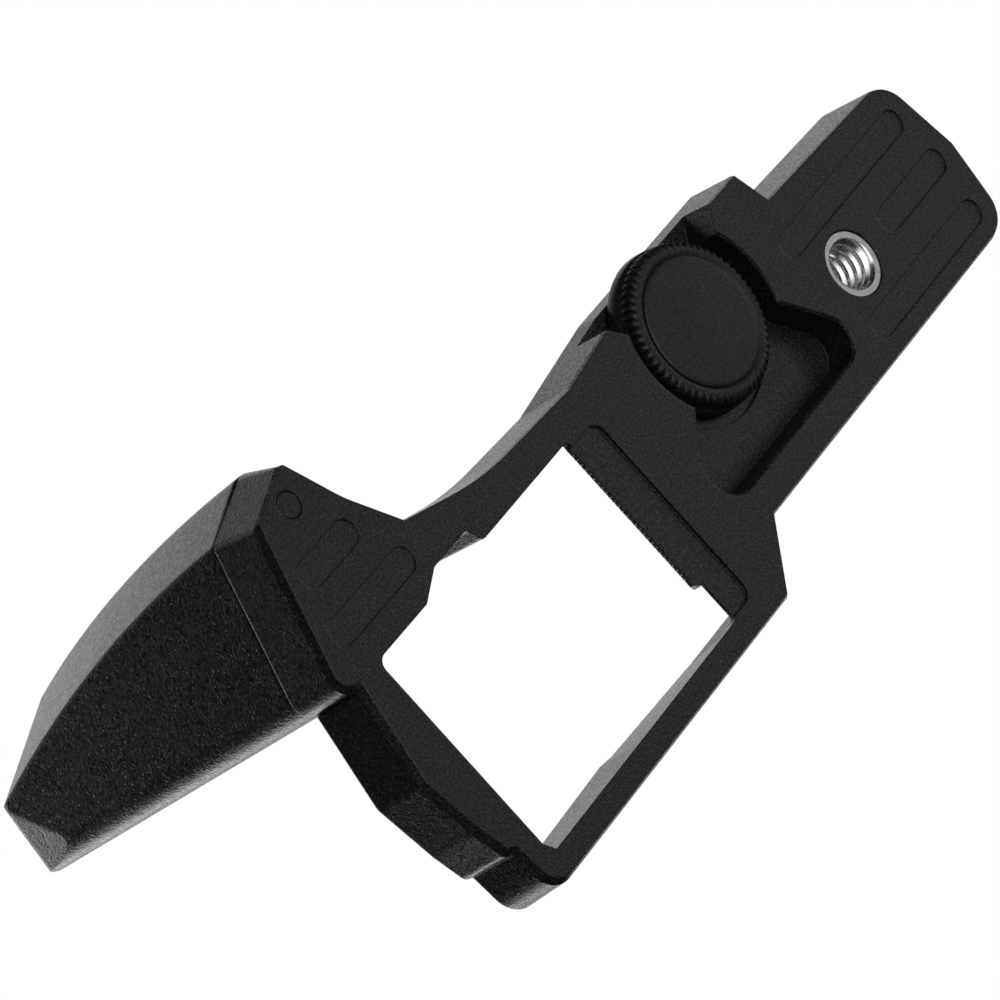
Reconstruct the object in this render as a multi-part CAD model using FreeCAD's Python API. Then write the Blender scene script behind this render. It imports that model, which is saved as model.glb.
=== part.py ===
"""Camera base plate with an upright front grip, a captive thumbscrew and a tripod socket.

The outlines are drawn about the thumbscrew's axis, with the underside at z = 0, +Z up towards
the camera, +X along the bar towards its free end and +Y towards the back of the camera.
Every piece is then moved so that the origin is the mouth of the tripod socket.
"""

import FreeCAD, Part
import math
import os

V = FreeCAD.Vector
UP = V(0, 0, 1)

# ---- plate ----
PLATE_T = 7.4
EDGE_CHAMFER = 0.7
MARK_DEPTH = 0.22
MARK_WIDTH = 3.0
SOCKET_X, SOCKET_Y = 21.2, 8.3

# ---- thumbscrew recess, pocket behind it and captive screw ----
RECESS_R = 10.4
RECESS_CHAMFER = 0.3
FLOOR_Z = 4.6
POCKET_FLOOR_Z = 4.2
POCKET_CHAMFER = 0.3
CLIP_SEAT_R = 5.8
CLIP_SEAT_Z = 5.6
SCREW_HOLE_R = 3.25
KNOB_R = 9.0
FLANGE_R = 9.3
KNOB_FACE_Z = 0.5
KNOB_TOP_Z = 4.3
KNURL_HEIGHT = 1.9
KNURL_TEETH = 60
KNURL_DEPTH = 0.36
CAP_R = 7.25
CAP_T = 0.6
CAMERA_THREAD_R = 3.175
SCREW_TIP_Z = 12.5
SPIGOT_R = 2.0
GROOVE_R = 2.3
RELIEF_R = 2.8
THREAD_START_Z = 7.7
CLIP_Z = 6.8
CLIP_T = 0.5
CLIP_R = 4.4
WASHER_R = 6.5
WASHER_T = 0.22

# ---- tripod socket insert ----
INSERT_R = 3.785
INSERT_BORE_R = 2.55
INSERT_FACE_Z = 0.2
INSERT_TOP_Z = 7.0
INSERT_MOUTH_R = 2.95
INSERT_COUNTERSINK = 0.4

# ---- battery opening ----
LIP_X = -25.25
LEDGE_X = -20.4
LEDGE_DEPTH = 0.4
LIP_T = 0.45
SERRATION_PITCH = 0.62
SERRATION_R = 0.26

# ---- grip ----
GRIP_TOP_Z = 57.0
GRIP_WALL = 2.0
SEAM_GAP = 0.08
GRIP_SWEEP = 240.0
FINGER_EDGE_R = 2.0
FRONT_NORMAL = V(-0.345, -0.939, 0).normalize()
SIDE_NORMAL = V(-0.935, -0.354, 0).normalize()
FRONT_AT_SEAM = 40.4
FRONT_AT_MIDDLE = 37.75
FRONT_AT_TOP = 32.8
FRONT_MIDDLE_Z = 34.0
SIDE_AT_SEAM = 64.1
SIDE_AT_TOP = 64.3
GRIP_BACK_Y = -2.05
GRIP_BACK_LEAN = 0.3
TIP_POINT = V(-64.65, -10.97, 57.0)
TIP_NORMAL = V(-0.977, -0.146, 0.152).normalize()
RIGHT_AT_SEAM = V(-50.3, -20.9, 0)
RIGHT_AT_TOP = V(-49.2, -16.6, 0)
WAIST_AT_SEAM = V(-47.0, -10.0, 0)
WAIST_AT_TOP = V(-48.5, -9.5, 0)
RIGHT_SLANT = V(0.3615, 0.9324, 0)
BACK_CORNER_R = 2.8
WAIST_R = 4.0
BACK_STEP = 2.6

# ---- grip fasteners ----
POST_BOX = (-61.6, -58.4, -12.0, 44.0)
REAR_SCREW_X = -60.1
REAR_SCREW_Z = (18.0, 38.0)
REAR_SHANK_R = 0.98
REAR_HEAD_R = 1.9
REAR_HEAD_Y = -3.9
REAR_DRIVE = 0.9
BASE_SCREW_XY = (-56.4, -19.2)
BASE_SHANK_R = 0.78
BASE_HEAD_R = 1.4
BASE_HEAD_Z = (1.7, 2.95)
BOSS_R = 2.0
BOSS_TOP_Z = 16.0
PLUG_R = 1.45
PLUG_FACE_Z = 0.05
PLUG_TOP_Z = 1.5
PLUG_GROOVE = 0.12

# ---- pads and pin on the camera side ----
PAD_T = 0.8
PAD_SINK = 0.5
PIN_R = 1.5
PIN_XY = (20.0, 15.2)
PIN_TOP_Z = 9.4
PIN_SINK = 2.4
GRIP_PAD = (8.0, 0.4, 36.0)
GRIP_PAD_X = -62.5
GRIP_PAD_RISE = 3.6
GRIP_PAD_R = 2.0


# ---------------------------------------------------------------- drawing helpers

def corner_wire(corners, z):
    """Closed wire at height z through (x, y, radius) corners, each rounded by its radius."""
    points = [V(x, y, z) for x, y, _ in corners]
    count = len(points)
    starts, ends, middles = [], [], []
    for i in range(count):
        here, radius = points[i], corners[i][2]
        back = (points[i - 1] - here).normalize()
        ahead = (points[(i + 1) % count] - here).normalize()
        if radius <= 0:
            starts.append(here)
            ends.append(here)
            middles.append(None)
            continue
        half = back.getAngle(ahead) / 2
        reach = radius / math.tan(half)
        inward = (back + ahead).normalize()
        starts.append(here + back * reach)
        ends.append(here + ahead * reach)
        middles.append(here + inward * (radius / math.sin(half) - radius))
    edges = []
    for i in range(count):
        if middles[i] is not None:
            edges.append(Part.Arc(starts[i], middles[i], ends[i]).toShape())
        following = starts[(i + 1) % count]
        if (following - ends[i]).Length > 1e-6:
            edges.append(Part.LineSegment(ends[i], following).toShape())
    return Part.Wire(edges)


def offset_corners(corners, gaps):
    """Move each wall of an anticlockwise outline outward by its own gap."""
    count = len(corners)
    flat = [V(x, y, 0) for x, y, _ in corners]
    along = [(flat[(i + 1) % count] - flat[i]).normalize() for i in range(count)]
    moved = []
    for i in range(count):
        before, after = along[i - 1], along[i]
        gap_before, gap_after = gaps[i - 1], gaps[i]
        outward_before = V(before.y, -before.x, 0)
        outward_after = V(after.y, -after.x, 0)
        turn = before.x * after.y - before.y * after.x
        if abs(turn) < 1e-3:
            spot = flat[i] + outward_after * (gap_before + gap_after) / 2
        else:
            gap_vector = outward_after * gap_after - outward_before * gap_before
            step = (gap_vector.x * after.y - gap_vector.y * after.x) / turn
            spot = flat[i] + outward_before * gap_before + before * step
        radius = corners[i][2]
        if radius > 0:
            growth = (gap_before + gap_after) / 2
            radius += growth if turn > 0 else -growth
        moved.append((spot.x, spot.y, radius))
    return moved


def prism(corners, z0, z1):
    return Part.Face(corner_wire(corners, z0)).extrude(UP * (z1 - z0))


def flared(corners, z0, z1, gap):
    """Prism whose outline grows by gap on every side between z0 and z1."""
    wider = offset_corners(corners, [gap] * len(corners))
    return Part.makeLoft([corner_wire(corners, z0), corner_wire(wider, z1)], True, True)


def disc(radius, z0, z1, x=0.0, y=0.0):
    return Part.makeCylinder(radius, z1 - z0, V(x, y, z0))


def tube(outer, inner, z0, z1):
    return disc(outer, z0, z1).cut(disc(inner, z0, z1))


def box(x0, x1, y0, y1, z0, z1):
    return Part.makeBox(x1 - x0, y1 - y0, z1 - z0, V(x0, y0, z0))


def obround(x0, x1, y_mid, width, z0, z1):
    r = width / 2
    ends = [disc(r, z0, z1, x0 + r, y_mid), disc(r, z0, z1, x1 - r, y_mid)]
    middle = box(x0 + r, x1 - r, y_mid - r, y_mid + r, z0, z1)
    return middle.fuse(ends).removeSplitter()


def half_space(point, normal, size=400.0):
    """Large block on the outer side of a plane."""
    block = Part.makeBox(size, size, size, V(-size / 2, -size / 2, 0))
    block.Placement = FreeCAD.Placement(point, FreeCAD.Rotation(UP, normal))
    return block


# ---------------------------------------------------------------- base plate

# Outer walls at the height of the edge chamfer, anticlockwise from the bar's front edge.
# Each entry is (x, y, corner radius, chamfer and outward lean of the wall that starts there).
PLATE_OUTLINE = [
    (18.3, -3.05, 0.0, 0.12, 0.6),
    (42.8, -2.2, 4.0, 0.3, 0.3),
    (44.65, 8.3, 0.8, 0.3, 0.3),
    (43.15, 18.55, 3.9, 0.4, 0.5),
    (-10.65, 18.55, 0.0, 0.4, 0.3),
    (-16.75, 24.95, 0.0, 0.4, 0.5),
    (-64.2, 24.95, 3.0, 0.7, 0.15),
    (-64.6, 19.2, 0.0, 0.7, 0.1),
    (-65.6, 18.7, 1.0, 0.7, 0.1),
    (-66.5, 15.0, 3.0, 0.7, 0.1),
    (-67.5, 8.1, 2.0, 0.7, 0.2),
    (-65.2, -2.4, 0.0, 0.7, 0.0),
    (-67.83, -2.4, 2.2, 0.53, -0.1),
    (-61.2, -19.96, 0.9, 0.12, 0.55),
    (-53.7, -22.6, 0.6, 0.12, 2.6),
    (-50.8, -15.8, 12.0, 0.12, 2.6),
    (-47.15, -9.95, 0.0, 0.12, 0.4),
    (-36.2, -6.8, 40.0, 0.12, 0.3),
    (-20.0, -6.05, 4.0, 0.12, 0.5),
    (-7.0, -7.5, 4.0, 0.12, 0.5),
    (16.9, -7.5, 0.0, 0.3, 0.3),
]

# The thumbscrew pocket's flat-sided part behind the round recess.
POCKET_OUTLINE = [
    (6.0, 0.66, 0.0),
    (16.9, 14.6, 2.8),
    (-19.4, 14.6, 3.3),
    (-5.0, 1.46, 0.0),
]

# The round recess opens through the front edge between two splayed walls.
MOUTH_OUTLINE = [
    (-9.2, -4.7, 0.0),
    (-11.2, -7.0, 0.0),
    (-14.0, -10.0, 0.0),
    (14.0, -10.0, 0.0),
    (10.9, -7.0, 0.0),
    (9.0, -4.7, 0.0),
]

# Battery opening: underside corners, and how far each wall leans out by the camera side.
OPENING_OUTLINE = [
    (LIP_X, -2.75, 0.0, 0.0),
    (LIP_X, 16.5, 0.0, 0.0),
    (-24.0, 17.3, 0.0, 0.0),
    (-24.0, 22.0, 0.8, 1.15),
    (-42.0, 22.0, 0.0, 0.0),
    (-44.0, 22.0, 0.0, 0.6),
    (-60.7, 22.0, 0.0, 0.0),
    (-61.55, 20.6, 0.0, 0.0),
    (-61.25, -2.95, 1.2, 0.0),
    (-52.2, -2.9, 0.6, 0.0),
    (-48.4, -4.7, 0.6, 0.0),
    (-42.4, -4.7, 0.6, 0.0),
    (-41.6, -2.75, 0.6, 0.55),
]

# Shallow marks in the underside: first x, last x, middle y.
MARKS = [
    (14.5, 41.0, 1.85),
    (28.0, 42.0, 8.2),
    (16.7, 41.0, 14.75),
    (-61.5, -52.2, -13.3),
    (-63.5, -49.3, -7.4),
]


def plate_blank():
    corners = [c[:3] for c in PLATE_OUTLINE]
    foot = offset_corners(corners, [-c[3] for c in PLATE_OUTLINE])
    top = offset_corners(corners, [c[4] for c in PLATE_OUTLINE])
    sections = [corner_wire(foot, 0), corner_wire(corners, EDGE_CHAMFER), corner_wire(top, PLATE_T)]
    return Part.makeLoft(sections, True, True)


def thumbscrew_pocket():
    """Everything cut out of the underside to make room for the thumbscrew and a fingertip."""
    recess = disc(RECESS_R, -1, FLOOR_Z)
    recess_edge = Part.makeCone(RECESS_R + RECESS_CHAMFER, RECESS_R, RECESS_CHAMFER)
    mouth = prism(MOUTH_OUTLINE, -1, FLOOR_Z)
    pocket = prism(POCKET_OUTLINE, -1, POCKET_FLOOR_Z)
    pocket_edge = flared(POCKET_OUTLINE, POCKET_CHAMFER, -POCKET_CHAMFER, 2 * POCKET_CHAMFER)
    return recess.fuse([recess_edge, mouth, pocket, pocket_edge])


def battery_opening():
    corners = [c[:3] for c in OPENING_OUTLINE]
    leans = [c[3] for c in OPENING_OUTLINE]
    above, below = PLATE_T + 1, -1
    slope = 1.0 / PLATE_T
    top = offset_corners(corners, [lean * above * slope for lean in leans])
    foot = offset_corners(corners, [lean * below * slope for lean in leans])
    return Part.makeLoft([corner_wire(foot, below), corner_wire(top, above)], True, True)


def door_clearance():
    """Wedges cut under the ledge from the camera side, which leave a thin lip at the opening."""
    lip_top = LEDGE_DEPTH + LIP_T
    run = PLATE_T + 1 - lip_top
    wedges = []
    for edge_x, y0, y1 in ((LIP_X, -2.75, 17.3), (-24.0, 17.3, 23.1)):
        profile = [
            V(edge_x - 3, y0, lip_top),
            V(edge_x, y0, lip_top),
            V(edge_x + run, y0, PLATE_T + 1),
            V(edge_x - 3, y0, PLATE_T + 1),
        ]
        wedges.append(Part.Face(Part.makePolygon(profile + profile[:1])).extrude(V(0, y1 - y0, 0)))
    return wedges[0].fuse(wedges[1])


def ledge_step():
    corners = [
        (LIP_X - 2, -2.0, 0.0),
        (LEDGE_X, -2.0, 1.5),
        (LEDGE_X, 21.7, 1.5),
        (LIP_X - 2, 21.7, 0.0),
    ]
    return prism(corners, -1, LEDGE_DEPTH)


def lip_serrations():
    teeth = []
    y = -2.2
    while y < 16.3:
        teeth.append(disc(SERRATION_R, 0, 2, LIP_X, y))
        y += SERRATION_PITCH
    return teeth


def grip_post():
    """Upstand that carries the grip shell."""
    x0, x1, y0, z1 = POST_BOX
    y1 = GRIP_BACK_Y - GRIP_BACK_LEAN - GRIP_WALL - 0.05
    return box(x0, x1, y0, y1, PLATE_T - 1, z1)


def rear_screw_solid(radius, y0, y1, z):
    return Part.makeCylinder(radius, y1 - y0, V(REAR_SCREW_X, y0, z), V(0, 1, 0))


def base_plate():
    plate = plate_blank().fuse(grip_post())
    plate = plate.cut(thumbscrew_pocket())
    plate = plate.cut(disc(SCREW_HOLE_R, 0, PLATE_T + 1))
    plate = plate.cut(disc(CLIP_SEAT_R, CLIP_SEAT_Z, PLATE_T + 1))
    plate = plate.cut(battery_opening())
    plate = plate.cut(ledge_step())
    plate = plate.cut(door_clearance())
    plate = plate.cut(lip_serrations())
    plate = plate.cut([obround(a, b, y, MARK_WIDTH, -1, MARK_DEPTH) for a, b, y in MARKS])
    plate = plate.cut(disc(INSERT_R, -1, PLATE_T + 1, SOCKET_X, SOCKET_Y))
    x, y = BASE_SCREW_XY
    plate = plate.cut(disc(PLUG_R, -1, BASE_HEAD_Z[1] + 0.05, x, y))
    plate = plate.cut(disc(BASE_SHANK_R + 0.07, 0, PLATE_T + 1, x, y))
    plate = plate.cut(disc(PIN_R, PLATE_T - PIN_SINK, PLATE_T + 1, *PIN_XY))
    for outline in (SCREW_PAD_OUTLINE, END_PAD_OUTLINE):
        plate = plate.cut(prism(outline, PLATE_T - PAD_SINK, PLATE_T + 1))
    for z in REAR_SCREW_Z:
        plate = plate.cut(rear_screw_solid(REAR_SHANK_R + 0.02, -10.5, 0, z))
    return plate


# ---------------------------------------------------------------- grip shell

def grip_plan(side, back_y, front, inset, z, right, waist):
    """Plan of the grip at one height. right and waist place the hidden finger-side wall."""
    reach = front + 3.0
    outward = V(RIGHT_SLANT.y, -RIGHT_SLANT.x, 0)
    det = SIDE_NORMAL.x * FRONT_NORMAL.y - SIDE_NORMAL.y * FRONT_NORMAL.x
    left_x = (side * FRONT_NORMAL.y - SIDE_NORMAL.y * reach) / det
    left_y = (SIDE_NORMAL.x * reach - side * FRONT_NORMAL.x) / det
    right_front = right - outward * inset
    along = (reach - right_front.dot(FRONT_NORMAL)) / RIGHT_SLANT.dot(FRONT_NORMAL)
    right_far = right_front + RIGHT_SLANT * along
    back_left_x = (side - SIDE_NORMAL.y * back_y) / SIDE_NORMAL.x
    return corner_wire([
        (right_far.x, right_far.y, 0.0),
        (waist.x - inset, waist.y - inset / 2, WAIST_R - 1.5 * inset),
        (waist.x - inset, back_y - BACK_STEP, 0.6),
        (waist.x - inset - 4.0, back_y - BACK_STEP, 0.0),
        (waist.x - inset - 7.0, back_y, 0.0),
        (back_left_x, back_y, BACK_CORNER_R - 0.8 * inset),
        (left_x, left_y, 0.0),
    ], z)


def front_sweep(inset):
    """Wide solid behind the grip's curved front, swept along the front wall."""
    along = V(FRONT_NORMAL.y, -FRONT_NORMAL.x, 0)
    start = along * -GRIP_SWEEP / 2
    low = start + UP * PLATE_T
    high = start + UP * GRIP_TOP_Z
    curve = [
        low + FRONT_NORMAL * (FRONT_AT_SEAM - inset),
        start + FRONT_NORMAL * (FRONT_AT_MIDDLE - inset) + UP * FRONT_MIDDLE_Z,
        high + FRONT_NORMAL * (FRONT_AT_TOP - inset),
    ]
    outline = Part.Wire([
        Part.LineSegment(low, curve[0]).toShape(),
        Part.Arc(*curve).toShape(),
        Part.LineSegment(curve[2], high).toShape(),
        Part.LineSegment(high, low).toShape(),
    ])
    return Part.Face(outline).extrude(along * GRIP_SWEEP)


def grip_block(inset, z0):
    """The grip's outer form, or its hollow when inset by the wall."""
    low = grip_plan(
        SIDE_AT_SEAM - inset, GRIP_BACK_Y - inset, FRONT_AT_SEAM, inset, PLATE_T,
        RIGHT_AT_SEAM, WAIST_AT_SEAM,
    )
    high = grip_plan(
        SIDE_AT_TOP - inset, GRIP_BACK_Y - GRIP_BACK_LEAN - inset, FRONT_AT_TOP, inset, GRIP_TOP_Z,
        RIGHT_AT_TOP, WAIST_AT_TOP,
    )
    block = Part.makeLoft([low, high], True, True).common(front_sweep(inset))
    block = block.cut(half_space(TIP_POINT - TIP_NORMAL * inset, TIP_NORMAL))
    block = block.cut(half_space(UP * (GRIP_TOP_Z - inset), UP))
    return block.cut(half_space(UP * z0, UP * -1))


def grip_shell():
    shell = grip_block(0.0, PLATE_T + SEAM_GAP)
    long_edges = [e for e in shell.Edges if e.Length > 40]
    finger_edge = [e for e in long_edges if e.CenterOfMass.x > -56 and e.CenterOfMass.y < -14]
    shell = shell.makeFillet(FINGER_EDGE_R, finger_edge)
    shell = shell.cut(grip_block(GRIP_WALL, PLATE_T + SEAM_GAP - 1))
    x, y = BASE_SCREW_XY
    shell = shell.fuse(disc(BOSS_R, PLATE_T + SEAM_GAP, BOSS_TOP_Z, x, y))
    shell = shell.cut(disc(BASE_SHANK_R + 0.02, PLATE_T, BOSS_TOP_Z - 1, x, y))
    for z in REAR_SCREW_Z:
        spot = V(REAR_SCREW_X, REAR_HEAD_Y, z)
        shell = shell.cut(rear_screw_solid(REAR_SHANK_R + 0.12, -5.5, 0, z))
        shell = shell.cut(Part.makeCone(1.0, REAR_HEAD_R + 0.1, 1.1, spot, V(0, 1, 0)))
        shell = shell.cut(rear_screw_solid(REAR_HEAD_R + 0.1, REAR_HEAD_Y + 1.05, 0, z))
    return shell.removeSplitter()


# ---------------------------------------------------------------- fasteners of the grip

def grip_rear_screws():
    screws = []
    for z in REAR_SCREW_Z:
        head = Part.makeCone(1.0, REAR_HEAD_R, 1.0, V(REAR_SCREW_X, REAR_HEAD_Y, z), V(0, 1, 0))
        shank = rear_screw_solid(REAR_SHANK_R, -10.0, REAR_HEAD_Y + 0.1, z)
        corner = V(REAR_SCREW_X - REAR_DRIVE / 2, REAR_HEAD_Y + 0.4, z - REAR_DRIVE / 2)
        drive = Part.makeBox(REAR_DRIVE, 0.8, REAR_DRIVE, corner)
        screws.append(head.fuse(shank).cut(drive).removeSplitter())
    return Part.makeCompound(screws)


def grip_base_screw():
    x, y = BASE_SCREW_XY
    head_z0, head_z1 = BASE_HEAD_Z
    head = disc(BASE_HEAD_R, head_z0, head_z1, x, y)
    shank = disc(BASE_SHANK_R, head_z1 - 0.05, BOSS_TOP_Z - 2, x, y)
    slot = box(x - 0.2, x + 0.2, y - 2, y + 2, head_z0 - 0.5, head_z0 + 0.4)
    return head.fuse(shank).cut(slot).removeSplitter()


def grip_screw_plug():
    face = disc(PLUG_R - PLUG_GROOVE, PLUG_FACE_Z, 0.5, *BASE_SCREW_XY)
    return face.fuse(disc(PLUG_R, 0.4, PLUG_TOP_Z, *BASE_SCREW_XY)).removeSplitter()


# ---------------------------------------------------------------- tripod socket

def tripod_insert():
    insert = disc(INSERT_R, INSERT_FACE_Z, INSERT_TOP_Z, SOCKET_X, SOCKET_Y)
    bore = disc(INSERT_BORE_R, 0, PLATE_T, SOCKET_X, SOCKET_Y)
    countersink = Part.makeCone(
        INSERT_MOUTH_R, INSERT_BORE_R, INSERT_COUNTERSINK, V(SOCKET_X, SOCKET_Y, INSERT_FACE_Z)
    )
    return insert.cut([bore, countersink])


# ---------------------------------------------------------------- thumbscrew

def thumbscrew_knob():
    crown = disc(KNOB_R, KNOB_FACE_Z, KNOB_FACE_Z + KNURL_HEIGHT)
    crown = crown.makeChamfer(0.2, [e for e in crown.Edges if e.CenterOfMass.z < KNOB_FACE_Z + 0.1])
    flange = disc(FLANGE_R, KNOB_FACE_Z + KNURL_HEIGHT, KNOB_TOP_Z)
    flange = flange.makeChamfer(0.2, flange.Edges)
    grooves = []
    for i in range(KNURL_TEETH):
        angle = 2 * math.pi * i / KNURL_TEETH
        centre = V(math.cos(angle), math.sin(angle), 0) * (KNOB_R + 0.02)
        grooves.append(disc(KNURL_DEPTH, KNOB_FACE_Z - 0.5, KNOB_FACE_Z + KNURL_HEIGHT, centre.x, centre.y))
    knob = crown.cut(grooves).fuse(flange)
    knob = knob.cut(disc(CAP_R, 0, KNOB_FACE_Z + CAP_T))
    return knob.cut(disc(SPIGOT_R, 0, KNOB_TOP_Z + 1))


def thumbscrew_cap():
    cap = disc(CAP_R, KNOB_FACE_Z + 0.08, KNOB_FACE_Z + CAP_T)
    return cap.makeChamfer(0.12, [e for e in cap.Edges if e.CenterOfMass.z < KNOB_FACE_Z + 0.1])


def camera_screw():
    """1/4 inch screw; its spigot is pressed into the knob and a neck takes the retaining clip."""
    spigot = disc(SPIGOT_R, KNOB_FACE_Z + CAP_T, KNOB_TOP_Z)
    shank = disc(CAMERA_THREAD_R, KNOB_TOP_Z, SCREW_TIP_Z)
    neck = tube(CAMERA_THREAD_R + 1, GROOVE_R, CLIP_Z - 0.04, CLIP_Z + CLIP_T + 0.04)
    relief = tube(CAMERA_THREAD_R + 1, RELIEF_R, CLIP_Z + CLIP_T, THREAD_START_Z)
    tip = Part.makeCone(CAMERA_THREAD_R + 0.4, CAMERA_THREAD_R - 0.6, 1.0, V(0, 0, SCREW_TIP_Z - 1.0))
    tip_blank = disc(CAMERA_THREAD_R + 1, SCREW_TIP_Z - 1.0, SCREW_TIP_Z)
    return spigot.fuse(shank).cut([neck, relief, tip_blank.cut(tip)]).removeSplitter()


def retaining_clip():
    """E-shaped clip: an open ring that is pushed onto the neck from one side."""
    ring = tube(CLIP_R, GROOVE_R + 0.03, CLIP_Z, CLIP_Z + CLIP_T)
    opening = box(0, CLIP_R + 1, -1.5, 1.5, CLIP_Z - 1, CLIP_Z + 1)
    reliefs = [disc(0.8, CLIP_Z - 1, CLIP_Z + 1, 3.0 * math.cos(a), 3.0 * math.sin(a))
               for a in (math.radians(125), math.radians(235))]
    return ring.cut([opening] + reliefs)


def thrust_washer():
    z0 = KNOB_TOP_Z + 0.03
    return tube(WASHER_R, CAMERA_THREAD_R + 0.06, z0, z0 + WASHER_T)


# ---------------------------------------------------------------- pads and pin

SCREW_PAD_OUTLINE = [(-16.0, -5.0, 2.0), (12.5, -5.0, 2.0), (12.5, 16.0, 2.0), (-16.0, 16.0, 2.0)]
END_PAD_OUTLINE = [(26.5, 0.0, 2.0), (41.0, 0.5, 2.0), (41.0, 16.0, 2.0), (26.5, 16.0, 2.0)]


def screw_pad():
    pad = prism(SCREW_PAD_OUTLINE, PLATE_T - PAD_SINK, PLATE_T - PAD_SINK + PAD_T)
    return pad.cut(disc(CLIP_SEAT_R + 0.6, 0, 20))


def end_pad():
    return prism(END_PAD_OUTLINE, PLATE_T - PAD_SINK, PLATE_T - PAD_SINK + PAD_T)


def grip_pad():
    """Thin strip on the back of the grip that rests against the camera's front."""
    slope = math.degrees(math.atan2(GRIP_BACK_LEAN, GRIP_TOP_Z - PLATE_T))
    strip = Part.makeBox(*GRIP_PAD, V(GRIP_PAD_X, 0, 0))
    strip = strip.makeFillet(GRIP_PAD_R, [e for e in strip.Edges if abs(e.tangentAt(0).y) > 0.9])
    strip.rotate(V(0, 0, 0), V(1, 0, 0), slope)
    back = GRIP_BACK_Y - GRIP_BACK_LEAN * GRIP_PAD_RISE / (GRIP_TOP_Z - PLATE_T)
    strip.translate(V(0, back, PLATE_T + GRIP_PAD_RISE))
    return strip


def locating_pin():
    pin = disc(PIN_R, PLATE_T - PIN_SINK, PIN_TOP_Z, *PIN_XY)
    return pin.makeChamfer(0.4, [e for e in pin.Edges if e.CenterOfMass.z > PIN_TOP_Z - 0.01])


PIECES = {
    "base_plate": base_plate,
    "grip_shell": grip_shell,
    "grip_rear_screws": grip_rear_screws,
    "grip_base_screw": grip_base_screw,
    "grip_screw_plug": grip_screw_plug,
    "tripod_insert": tripod_insert,
    "thumbscrew_knob": thumbscrew_knob,
    "thumbscrew_cap": thumbscrew_cap,
    "camera_screw": camera_screw,
    "retaining_clip": retaining_clip,
    "thrust_washer": thrust_washer,
    "screw_pad": screw_pad,
    "end_pad": end_pad,
    "grip_pad": grip_pad,
    "locating_pin": locating_pin,
}

os.makedirs("parts", exist_ok=True)
for name, make in PIECES.items():
    shape = make()
    shape.translate(V(-SOCKET_X, -SOCKET_Y, 0))
    print(f"{name}: valid {shape.isValid()}, solids {len(shape.Solids)}, volume {shape.Volume:.1f} mm3")
    shape.exportStep(f"parts/{name}.step")
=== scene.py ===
import bpy
import bmesh
import math
from mathutils import Matrix, Vector


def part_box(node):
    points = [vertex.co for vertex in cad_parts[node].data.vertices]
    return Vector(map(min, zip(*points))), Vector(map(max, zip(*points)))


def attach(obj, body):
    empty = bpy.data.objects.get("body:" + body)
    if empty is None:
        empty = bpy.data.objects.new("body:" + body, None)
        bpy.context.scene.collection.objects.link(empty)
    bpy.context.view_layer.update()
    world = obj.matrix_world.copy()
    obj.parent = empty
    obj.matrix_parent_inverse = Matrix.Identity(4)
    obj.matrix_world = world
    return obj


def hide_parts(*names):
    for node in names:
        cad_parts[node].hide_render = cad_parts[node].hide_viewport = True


# The base plate's CAD pieces get their coats here. The bush, the camera screw, the knob and its cap
# are turned again with real threads and a fine knurl, and stand for their CAD nodes.

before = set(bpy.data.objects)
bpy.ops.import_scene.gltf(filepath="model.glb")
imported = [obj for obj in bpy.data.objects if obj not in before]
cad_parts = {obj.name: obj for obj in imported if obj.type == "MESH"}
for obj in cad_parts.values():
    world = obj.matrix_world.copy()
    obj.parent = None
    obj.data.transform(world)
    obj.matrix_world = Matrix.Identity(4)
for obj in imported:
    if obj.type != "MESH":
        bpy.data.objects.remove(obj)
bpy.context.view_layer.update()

MM = 0.001
TAU = 2 * math.pi

# ---- camera of the main view, below and to the front of the grip end, in the frame's axes ----
CAMERA_SPOT = Vector((-0.39240, -0.09052, -0.39103))
CAMERA_FORWARD = Vector((0.64273, 0.15016, 0.75123))
CAMERA_UP = Vector((0.58361, -0.73121, -0.35316))
CAMERA_LENS = 193.03
CAMERA_SENSOR = 36.0
CAMERA_CLIP_START, CAMERA_CLIP_END = 0.05, 20.0

# ---- 1/4 inch camera thread ----
PITCH = 1.27 * MM
THREAD_MAJOR = 3.175 * MM
THREAD_MINOR = 2.6 * MM
THREAD_STEPS = 96
# One turn's section: share of the pitch, and height from the minor (0) to the major radius (1).
THREAD_PROFILE = [
    (0.0, 0.0), (0.125, 0.0), (0.25, 0.0), (0.41, 0.5),
    (0.5625, 1.0), (0.625, 1.0), (0.6875, 1.0), (0.84, 0.5), (1.0, 0.0),
]

# ---- threaded bush ----
BUSH_MOUTH_R = 2.95 * MM
BUSH_EDGE = 0.12 * MM

# ---- camera screw: depths are measured down from the tip ----
# THREAD_RUN_IN is how fast the first turn rises out of the relief, in radius per height.
SPIGOT_R = 2.0 * MM
SCREW_NECK_R = 2.3 * MM
SCREW_RELIEF_R = 2.8 * MM
SCREW_TIP_R = 2.575 * MM
SCREW_BEVEL = 0.15 * MM
SCREW_THREAD_DEPTH = 4.8 * MM
SCREW_NECK_DEPTHS = (5.16 * MM, 5.74 * MM)
SCREW_SHANK_DEPTH = 8.2 * MM
THREAD_RUN_IN = 0.6

# ---- knurled knob and its cap: outlines are (radius, height above the face) in mm ----
KNOB_OUTLINE = [
    (7.25, 0.3), (7.62, 0.13), (7.9, 0.12), (8.3, 0.17), (8.6, 0.29), (8.85, 0.5), (9.0, 0.85),
    (9.0, 1.6), (8.97, 1.85), (9.02, 2.0), (9.14, 2.1), (9.22, 2.25), (9.3, 3.5),
]
CAP_OUTLINE = [(7.22, 0.5), (7.22, 0.15), (7.14, 0.09), (6.95, 0.03), (6.6, 0.0)]
CAP_STEPS = 120
CAP_SEAT_R = 7.25 * MM
CAP_SEAT_RISE = 0.6 * MM
FLANGE_BEVEL = 0.12 * MM
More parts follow.
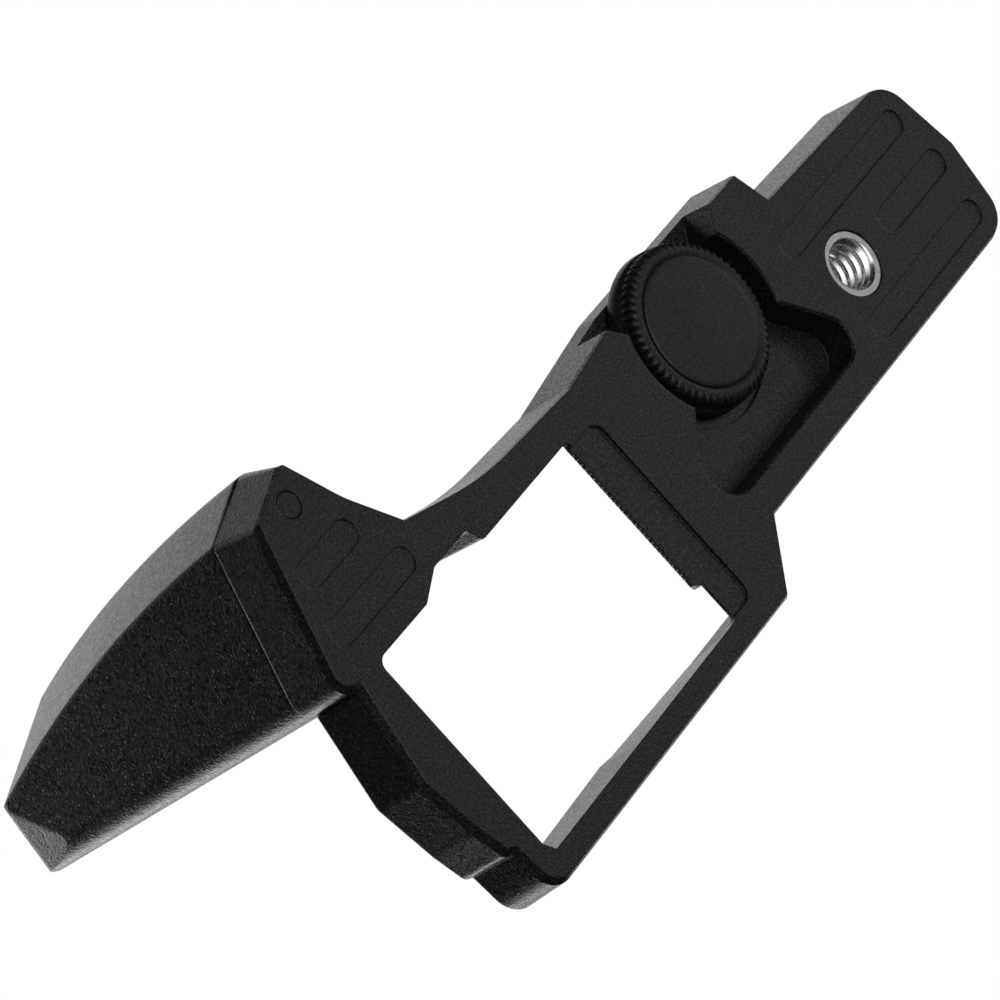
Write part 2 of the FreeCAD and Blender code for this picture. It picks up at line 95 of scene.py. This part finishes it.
# Grooves reach full depth KNURL_FADE outside KNURL_FADE_R, and end KNURL_HEIGHT above the face. A
# larger KNURL_LAND leaves more of the rim uncut between two grooves.
KNURL_TEETH = 60
KNURL_STEPS = 8
KNURL_DEPTH = 0.42 * MM
KNURL_LAND = 0.8
KNURL_FADE_R = 7.95 * MM
KNURL_FADE = 0.75 * MM
KNURL_HEIGHT = 1.8 * MM


# ---------------------------------------------------------------- node helpers

# Places of the colour sockets of a Mix node.
MIX_A, MIX_B, MIX_RESULT = 6, 7, 2


class Graph:
    """A material under construction: nodes are added and linked by short calls."""

    def __init__(self, name):
        self.material = bpy.data.materials.new(name)
        self.material.use_nodes = True
        self.tree = self.material.node_tree
        self.tree.nodes.clear()
        self.shader = self.add("ShaderNodeBsdfPrincipled")
        output = self.add("ShaderNodeOutputMaterial")
        self.tree.links.new(self.shader.outputs[0], output.inputs["Surface"])
        self.place = self.add("ShaderNodeTexCoord").outputs["Object"]

    def add(self, kind, **settings):
        node = self.tree.nodes.new(kind)
        for key, value in settings.items():
            setattr(node, key, value)
        return node

    def plug(self, socket, value):
        """Link a socket to another node's output, or set it to a constant."""
        if isinstance(value, bpy.types.NodeSocket):
            self.tree.links.new(value, socket)
        else:
            socket.default_value = value

    def feed(self, node, **inputs):
        """Plug a node's inputs by name, with _ for a space."""
        for key, value in inputs.items():
            self.plug(node.inputs[key.replace("_", " ")], value)

    def noise(self, size, detail=2.0):
        """Noise whose features are about size metres across."""
        node = self.add("ShaderNodeTexNoise")
        self.feed(node, Vector=self.place, Scale=1 / size, Detail=detail)
        return node.outputs["Fac"]

    def rings(self, width):
        """Noise that changes only with the distance from the Z axis."""
        flat = self.vector_math("MULTIPLY", self.place, (1, 1, 0))
        radius = self.vector_math("LENGTH", flat.outputs["Vector"])
        node = self.add("ShaderNodeTexNoise", noise_dimensions="1D")
        self.feed(node, W=radius.outputs["Value"], Scale=1 / width, Detail=2.0)
        return node.outputs["Fac"]

    def cells(self, size, smooth=0.6):
        """Rounded cells about size metres across."""
        node = self.add("ShaderNodeTexVoronoi", feature="SMOOTH_F1")
        self.feed(node, Vector=self.place, Scale=1 / size, Smoothness=smooth)
        return node.outputs["Distance"]

    def math(self, operation, a, b):
        node = self.add("ShaderNodeMath", operation=operation)
        self.plug(node.inputs[0], a)
        self.plug(node.inputs[1], b)
        return node.outputs[0]

    def vector_math(self, operation, a, b=None):
        node = self.add("ShaderNodeVectorMath", operation=operation)
        self.plug(node.inputs[0], a)
        if b is not None:
            self.plug(node.inputs[1], b)
        return node

    def spread(self, value, low, high, start=0.3, stop=0.7):
        """Map value from start..stop to low..high."""
        node = self.add("ShaderNodeMapRange")
        self.feed(node, Value=value, From_Min=start, From_Max=stop, To_Min=low, To_Max=high)
        return node.outputs["Result"]

    def blend(self, factor, a, b):
        """Mix two colours, each an (r, g, b, 1) or another node's output."""
        node = self.add("ShaderNodeMix", data_type="RGBA")
        self.plug(node.inputs["Factor"], factor)
        self.plug(node.inputs[MIX_A], a)
        self.plug(node.inputs[MIX_B], b)
        return node.outputs[MIX_RESULT]

    def rounded(self, radius):
        """Normal of the surface as if its edges were rounded."""
        node = self.add("ShaderNodeBevel", samples=6)
        self.feed(node, Radius=radius)
        return node.outputs["Normal"]

    def edge_mask(self, rounded_normal, gain):
        """1 on outer and inner edges, 0 on open surface."""
        true_normal = self.add("ShaderNodeNewGeometry").outputs["Normal"]
        dot = self.vector_math("DOT_PRODUCT", rounded_normal, true_normal)
        away = self.math("SUBTRACT", 1.0, dot.outputs["Value"])
        return self.math("MINIMUM", self.math("MULTIPLY", away, gain), 1.0)

    def bump(self, height, depth, normal=None):
        node = self.add("ShaderNodeBump")
        self.feed(node, Height=height, Distance=depth, Strength=1.0)
        if normal is not None:
            self.plug(node.inputs["Normal"], normal)
        return node.outputs["Normal"]


def tone(level, blue=0.0):
    """Opaque grey, with a little more blue where asked."""
    return (level, level, level + blue, 1)


def times(colour, factor):
    return (*(c * factor for c in colour[:3]), 1)


# ---- black coat: each share is a size as a part of the grain's ----
# SPECK_GAIN is how much paler a speck is; the gain on the edge mask sets how wide an edge the pale edge
# colour reaches, which is partly wear and partly a painted highlight.
COAT_BLUE = 0.0005
COAT_IOR = 1.5
PEBBLE_HEIGHT = -0.8
FINE_SHARE = 0.55
SPECK_SHARE = 0.9
GLOSS_SHARE = 1.3
SPECK_GAIN = 3.6
# Pale edge colour: partly wear and partly a painted highlight along outer and inner edges.
WEAR_AND_HIGHLIGHT_TONE = tone(0.14, 0.002)
WEAR_AND_HIGHLIGHT_STRENGTH = 0.6
WEAR_AND_HIGHLIGHT_PATCH = 0.24 * MM
WEAR_AND_HIGHLIGHT_GAIN = 6.0
DRIFT_PATCH = 6 * MM


def coat(name, dark, light, grain, depth, roughness, edge=0.2 * MM, soft=None):
    """Black textured coat: pebbled grain, slow colour drift, pale specks, and pale edges that are partly
    wear and partly a painted highlight.

    edge is the width of the pale edges (partly wear, partly painted highlight) and of the rounded
    shading; soft is the radius of the rounded shading, if that differs.
    """
    g = Graph(name)
    fine = g.noise(grain * FINE_SHARE, detail=0.5)
    height = g.math("ADD", g.math("MULTIPLY", g.cells(grain), PEBBLE_HEIGHT), fine)
    rounded = g.rounded(edge)
    # Paler colour on outer and inner edges, broken into patches: partly wear, partly a painted edge
    # highlight.
    wear_and_highlight_patches = g.spread(g.noise(WEAR_AND_HIGHLIGHT_PATCH), 0.0, WEAR_AND_HIGHLIGHT_STRENGTH, start=0.44, stop=0.58)
    edge_wear_and_highlight = g.math("MULTIPLY", g.edge_mask(rounded, WEAR_AND_HIGHLIGHT_GAIN), wear_and_highlight_patches)
    speck = g.spread(g.noise(grain * SPECK_SHARE), 0.0, 1.0, start=0.5, stop=0.64)
    colour = g.blend(g.noise(DRIFT_PATCH, detail=4.0), dark, light)
    colour = g.blend(speck, colour, times(light, SPECK_GAIN))
    colour = g.blend(edge_wear_and_highlight, colour, WEAR_AND_HIGHLIGHT_TONE)
    rough = g.spread(g.noise(grain * GLOSS_SHARE), roughness - 0.08, roughness + 0.1)
    shading = rounded if soft is None else g.rounded(soft)
    normal = g.bump(height, depth, shading)
    g.feed(g.shader, Base_Color=colour, Roughness=rough, Normal=normal, IOR=COAT_IOR)
    return g.material


# ---- bare metal: stains darken it to STAIN_SHADE of its colour ----
STAIN_PATCH = 1.5 * MM
STAIN_SHADE = 0.86
POLISH_PATCH = 0.5 * MM
METAL_EDGE = 0.06 * MM


def bare_metal(name, base, roughness, grain, depth=0.004 * MM, ringed=False):
    """Stained metal with fine grain, or with turned rings round the Z axis."""
    g = Graph(name)
    lines = g.rings(grain) if ringed else g.noise(grain, detail=3.0)
    colour = g.blend(g.noise(STAIN_PATCH, detail=4.0), times(base, STAIN_SHADE), base)
    rough = g.spread(g.noise(POLISH_PATCH), roughness * 0.75, roughness * 1.3)
    normal = g.bump(lines, depth, g.rounded(METAL_EDGE))
    g.feed(g.shader, Base_Color=colour, Roughness=rough, Normal=normal, Metallic=1.0)
    return g.material


def rubber(name):
    """Soft pad: matt, with a fine dimpled mould texture and a little dust."""
    g = Graph(name)
    dimples = g.cells(0.45 * MM, smooth=0.3)
    height = g.math("ADD", dimples, g.math("MULTIPLY", g.noise(0.1 * MM), 0.3))
    dust = g.spread(g.noise(4 * MM, detail=5.0), 0.0, 0.5, start=0.5, stop=0.75)
    colour = g.blend(dust, tone(0.016, 0.001), tone(0.04, -0.001))
    rough = g.spread(g.noise(1.2 * MM), 0.68, 0.86)
    normal = g.bump(height, 0.04 * MM, g.rounded(0.1 * MM))
    g.feed(g.shader, Base_Color=colour, Roughness=rough, Normal=normal)
    return g.material


def nylon(name):
    """Off-white washer plastic that lets a little light in."""
    g = Graph(name)
    drift = g.noise(1.0 * MM, detail=4.0)
    colour = g.blend(drift, (0.52, 0.51, 0.47, 1), (0.62, 0.61, 0.57, 1))
    rough = g.spread(g.noise(0.3 * MM), 0.4, 0.55)
    normal = g.bump(g.noise(0.15 * MM), 0.01 * MM)
    g.feed(g.shader, Base_Color=colour, Roughness=rough, Normal=normal)
    g.feed(g.shader, Subsurface_Weight=0.1, Subsurface_Scale=0.5 * MM)
    return g.material


# ---------------------------------------------------------------- turned pieces

MERGE_DISTANCE = 0.0005 * MM
SMOOTH_BELOW = math.radians(32)


def lathe(name, column_at, steps, closed):
    """Solid of revolution whose profile may change with angle.

    column_at(angle) gives the same number of (radius, z) points at every angle. A closed profile
    joins its last point to its first; an open one starts and ends on the axis.
    """
    columns = [column_at(TAU * i / steps) for i in range(steps + 1)]
    count = len(columns[0])
    vertices = []
    for i, column in enumerate(columns):
        angle = TAU * i / steps
        vertices += [(r * math.cos(angle), r * math.sin(angle), z) for r, z in column]
    faces = []
    last = count if closed else count - 1
    for i in range(steps):
        here, there = i * count, (i + 1) * count
        for j in range(last):
            k = (j + 1) % count
            faces.append((here + j, there + j, there + k, here + k))
    mesh = bpy.data.meshes.new(name)
    mesh.from_pydata(vertices, [], faces)
    clean_mesh(mesh)
    piece = bpy.data.objects.new(name, mesh)
    bpy.context.scene.collection.objects.link(piece)
    return piece


def clean_mesh(mesh):
    """Merge touching points, drop faces of no area, face outward, and smooth the gentle edges."""
    work = bmesh.new()
    work.from_mesh(mesh)
    bmesh.ops.remove_doubles(work, verts=work.verts, dist=MERGE_DISTANCE)
    bmesh.ops.dissolve_degenerate(work, edges=work.edges, dist=MERGE_DISTANCE)
    bmesh.ops.recalc_face_normals(work, faces=work.faces)
    for face in work.faces:
        face.smooth = True
    for edge in work.edges:
        if len(edge.link_faces) == 2:
            edge.smooth = edge.calc_face_angle(0.0) < SMOOTH_BELOW
    work.to_mesh(mesh)
    work.free()


def thread_radius(angle, z):
    """Radius of a right-hand thread's surface, from the minor to the major radius."""
    phase = (z / PITCH - angle / TAU) % 1.0
    for (p0, h0), (p1, h1) in zip(THREAD_PROFILE, THREAD_PROFILE[1:]):
        if phase <= p1:
            height = h0 + (h1 - h0) * (phase - p0) / (p1 - p0)
            return THREAD_MINOR + (THREAD_MAJOR - THREAD_MINOR) * height
    return THREAD_MINOR


def thread_points(angle, low, high, radius_at):
    """(radius, z) points up a thread at one angle, clipped to low..high."""
    first = math.floor(low / PITCH) - 2
    last = math.ceil(high / PITCH) + 1
    points = []
    for turn in range(first, last):
        for phase, _ in THREAD_PROFILE[:-1]:
            z = min(max((turn + phase + angle / TAU) * PITCH, low), high)
            points.append((radius_at(angle, z), z))
    return points


def raised(outline, face):
    """(radius, z) points in metres of an outline given in mm above a face."""
    return [(r * MM, face + z * MM) for r, z in outline]


def make_insert():
    """Bush with a real thread and a bevelled mouth."""
    low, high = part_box("tripod_insert")
    radius = (high.x - low.x) / 2
    face, top = low.z, high.z

    def inner(angle, z):
        return max(thread_radius(angle, z), BUSH_MOUTH_R - (z - face))

    def column(angle):
        outer = [
            (radius - BUSH_EDGE, top), (radius, top - BUSH_EDGE),
            (radius, face + BUSH_EDGE), (radius - BUSH_EDGE, face),
        ]
        return outer + thread_points(angle, face, top, inner)

    return lathe("tripod_insert_threaded", column, THREAD_STEPS, True)


def make_screw():
    """Captive screw: spigot, plain shank, neck for the clip, then a real thread up to the tip."""
    low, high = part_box("camera_screw")
    tip = high.z
    thread_low = tip - SCREW_THREAD_DEPTH
    neck_high, neck_low = (tip - depth for depth in SCREW_NECK_DEPTHS)
    shank_low = tip - SCREW_SHANK_DEPTH

    def outer(angle, z):
        run_in = SCREW_RELIEF_R + THREAD_RUN_IN * (z - thread_low)
        return min(thread_radius(angle, z), SCREW_TIP_R + (tip - z), run_in)

    def column(angle):
        stem = [
            (0, low.z), (SPIGOT_R, low.z), (SPIGOT_R, shank_low),
            (THREAD_MAJOR - SCREW_BEVEL, shank_low), (THREAD_MAJOR, shank_low + SCREW_BEVEL),
            (THREAD_MAJOR, neck_low - SCREW_BEVEL), (THREAD_MAJOR - SCREW_BEVEL, neck_low),
            (SCREW_NECK_R, neck_low), (SCREW_NECK_R, neck_high),
            (SCREW_RELIEF_R, neck_high), (SCREW_RELIEF_R, thread_low),
        ]
        return stem + thread_points(angle, thread_low, tip, outer) + [(0, tip)]

    return lathe("camera_screw_threaded", column, THREAD_STEPS, False)


def make_knob():
    """Knurled crown over a plain flange, with a dished face for the cap."""
    low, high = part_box("thumbscrew_knob")
    face, top = low.z, high.z
    rim = raised(KNOB_OUTLINE, face)
    flange_radius = rim[-1][0]
    seat = face + CAP_SEAT_RISE
    inside = [(flange_radius - FLANGE_BEVEL, top), (SPIGOT_R, top), (SPIGOT_R, seat), (CAP_SEAT_R, seat)]

    def column(angle):
        valley = 1 - abs(2 * (angle * KNURL_TEETH / TAU % 1.0) - 1)
        cut = KNURL_DEPTH * max(0.0, (1 + KNURL_LAND) * valley - KNURL_LAND)
        toothed = []
        for r, z in rim:
            share = min(max((r - KNURL_FADE_R) / KNURL_FADE, 0.0), 1.0)
            if z > face + KNURL_HEIGHT:
                share = 0.0
            toothed.append((r - cut * share, z))
        return toothed + inside

    return lathe("thumbscrew_knob_knurled", column, KNURL_TEETH * KNURL_STEPS, True)


def make_cap():
    """Slightly domed disc set into the knob's face."""
    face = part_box("thumbscrew_knob")[0].z
    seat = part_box("thumbscrew_cap")[1].z
    profile = [(0, seat)] + raised(CAP_OUTLINE, face) + [(0, face)]
    return lathe("thumbscrew_cap_domed", lambda angle: profile, CAP_STEPS, False)


def place_on(piece, node, body, material):
    """Move a turned piece from the Z axis to its CAD node's axis, and let it stand for the node."""
    low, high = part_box(node)
    piece.data.transform(Matrix.Translation(((low.x + high.x) / 2, (low.y + high.y) / 2, 0)))
    piece.data.materials.append(material)
    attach(piece, body)
    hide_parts(node)


# ---------------------------------------------------------------- materials and pieces

plate_coat = coat(
    "plate_coat", tone(0.014, COAT_BLUE), tone(0.021, COAT_BLUE),
    grain=0.26 * MM, depth=0.03 * MM, roughness=0.28,
)
grip_coat = coat(
    "grip_coat", tone(0.012, COAT_BLUE), tone(0.018, COAT_BLUE),
    grain=0.32 * MM, depth=0.04 * MM, roughness=0.28, soft=0.8 * MM,
)
plug_coat = coat(
    "plug_coat", tone(0.013, COAT_BLUE), tone(0.019, COAT_BLUE),
    grain=0.26 * MM, depth=0.03 * MM, roughness=0.28,
)
knob_coat = coat(
    "knob_coat", tone(0.013), tone(0.018),
    grain=0.2 * MM, depth=0.03 * MM, roughness=0.38, edge=0.12 * MM,
)
cap_coat = coat(
    "cap_coat", tone(0.014), tone(0.019),
    grain=0.2 * MM, depth=0.028 * MM, roughness=0.38, edge=0.1 * MM,
)
black_steel = bare_metal("black_steel", tone(0.06, 0.003), roughness=0.38, grain=0.12 * MM)
bright_steel = bare_metal(
    "bright_steel", tone(0.74, 0.01), roughness=0.26, grain=0.05 * MM, depth=0.0025 * MM, ringed=True,
)
screw_steel = bare_metal("screw_steel", (0.56, 0.55, 0.53, 1), roughness=0.24, grain=0.06 * MM)
spring_steel = bare_metal("spring_steel", tone(0.34, 0.02), roughness=0.3, grain=0.1 * MM)
pad_rubber = rubber("pad_rubber")
washer_nylon = nylon("washer_nylon")

NODE_MATERIALS = {
    "base_plate": plate_coat,
    "grip_shell": grip_coat,
    "grip_rear_screws": black_steel,
    "grip_base_screw": black_steel,
    "grip_screw_plug": plug_coat,
    "retaining_clip": spring_steel,
    "thrust_washer": washer_nylon,
    "screw_pad": pad_rubber,
    "end_pad": pad_rubber,
    "grip_pad": pad_rubber,
    "locating_pin": screw_steel,
}
for node, material in NODE_MATERIALS.items():
    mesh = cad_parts[node].data
    mesh.materials.clear()
    mesh.materials.append(material)

insert = make_insert()
place_on(insert, "tripod_insert", "plate", bright_steel)
place_on(make_knob(), "thumbscrew_knob", "thumbscrew", knob_coat)
place_on(make_cap(), "thumbscrew_cap", "thumbscrew", cap_coat)
place_on(make_screw(), "camera_screw", "thumbscrew", screw_steel)


# ---------------------------------------------------------------- floor, light and camera

FLOOR_HALF = 4.0
FLOOR_Z = -1.0
FLOOR_GLOW = 0.75
AMBIENT = 0.008
LIGHT_TARGET = Vector((0, 0, 0.01))

# Centre, width, height and radiance of each panel. A level one faces straight down or up, and the
# others face the object.
PANELS = {
    "overhead": ((0.60, 0.2, 0.9), 1.5, 1.8, 0.85, "level"),
    "overhead_right": ((1.1, -0.475, 0.9), 0.5, 0.45, 0.5, "level"),
    "key": ((-0.06, 0.47, 0.95), 0.5, 0.95, 2.2, "level"),
    "tip_card": ((-0.17, -0.1, 0.95), 0.26, 0.3, 2.8, "level"),
    "front_card": ((-0.3, -0.8, 0.95), 0.3, 0.35, 0.9, "level"),
    "low_fill": ((0.55, 0.13, -0.65), 0.4, 0.4, 0.5, "aimed"),
    "below": ((-0.25, -0.2, -0.95), 0.8, 0.9, 1.3, "level"),
    "side_strip": ((0.9, 0.1, -0.2), 0.5, 0.3, 1.2, "aimed"),
    "socket_card": ((-0.6, -0.05, -0.45), 0.9, 0.9, 1.7, "aimed"),
}


def make_floor():
    """Plain pale floor that doesn't light the object."""
    mesh = bpy.data.meshes.new("floor")
    corners = [
        (-FLOOR_HALF, -FLOOR_HALF, FLOOR_Z), (FLOOR_HALF, -FLOOR_HALF, FLOOR_Z),
        (FLOOR_HALF, FLOOR_HALF, FLOOR_Z), (-FLOOR_HALF, FLOOR_HALF, FLOOR_Z),
    ]
    mesh.from_pydata(corners, [], [(0, 1, 2, 3)])
    floor = bpy.data.objects.new("floor", mesh)
    bpy.context.scene.collection.objects.link(floor)
    g = Graph("pale_floor")
    colour = g.blend(g.noise(0.4), tone(0.86), tone(0.9))
    g.feed(g.shader, Base_Color=colour, Roughness=0.9)
    g.feed(g.shader, Emission_Color=colour, Emission_Strength=FLOOR_GLOW)
    mesh.materials.append(g.material)
    floor.visible_diffuse = False
    floor.visible_glossy = False


def make_panel(name, spot, width, height, radiance, facing):
    """Soft box of a given brightness."""
    light = bpy.data.lights.new(name, "AREA")
    light.shape = "RECTANGLE"
    light.size, light.size_y = width, height
    light.energy = radiance * math.pi * width * height
    panel = bpy.data.objects.new(name, light)
    panel.location = spot
    target = Vector((spot[0], spot[1], 0)) if facing == "level" else LIGHT_TARGET
    panel.rotation_euler = (target - Vector(spot)).to_track_quat("-Z", "Y").to_euler()
    panel.visible_camera = False
    bpy.context.scene.collection.objects.link(panel)
    return panel


def light_only(panel, piece):
    """Let a panel act on one piece only."""
    group = bpy.data.collections.new(panel.name + "_receivers")
    group.objects.link(piece)
    panel.light_linking.receiver_collection = group


def make_world():
    """White to the camera, dim to the object, which the panels light."""
    world = bpy.data.worlds.new("studio")
    world.use_nodes = True
    tree = world.node_tree
    tree.nodes.clear()
    seen = tree.nodes.new("ShaderNodeBackground")
    seen.inputs["Color"].default_value = (1, 1, 1, 1)
    fill = tree.nodes.new("ShaderNodeBackground")
    fill.inputs["Color"].default_value = tone(AMBIENT)
    path = tree.nodes.new("ShaderNodeLightPath")
    mix = tree.nodes.new("ShaderNodeMixShader")
    output = tree.nodes.new("ShaderNodeOutputWorld")
    tree.links.new(path.outputs["Is Camera Ray"], mix.inputs[0])
    tree.links.new(fill.outputs[0], mix.inputs[1])
    tree.links.new(seen.outputs[0], mix.inputs[2])
    tree.links.new(mix.outputs[0], output.inputs[0])
    bpy.context.scene.world = world


def make_camera():
    camera = bpy.data.objects.new("camera", bpy.data.cameras.new("camera"))
    camera.data.lens = CAMERA_LENS
    camera.data.sensor_width = CAMERA_SENSOR
    camera.data.clip_start = CAMERA_CLIP_START
    camera.data.clip_end = CAMERA_CLIP_END
    right = CAMERA_FORWARD.cross(CAMERA_UP).normalized()
    up = right.cross(CAMERA_FORWARD).normalized()
    turn = Matrix((right, up, -CAMERA_FORWARD.normalized())).transposed()
    camera.matrix_world = Matrix.Translation(CAMERA_SPOT) @ turn.to_4x4()
    bpy.context.scene.collection.objects.link(camera)
    bpy.context.scene.camera = camera


make_floor()
make_world()
panels = {name: make_panel(name, *row) for name, row in PANELS.items()}
light_only(panels["socket_card"], insert)
make_camera()
bpy.context.scene.view_settings.view_transform = "Standard"
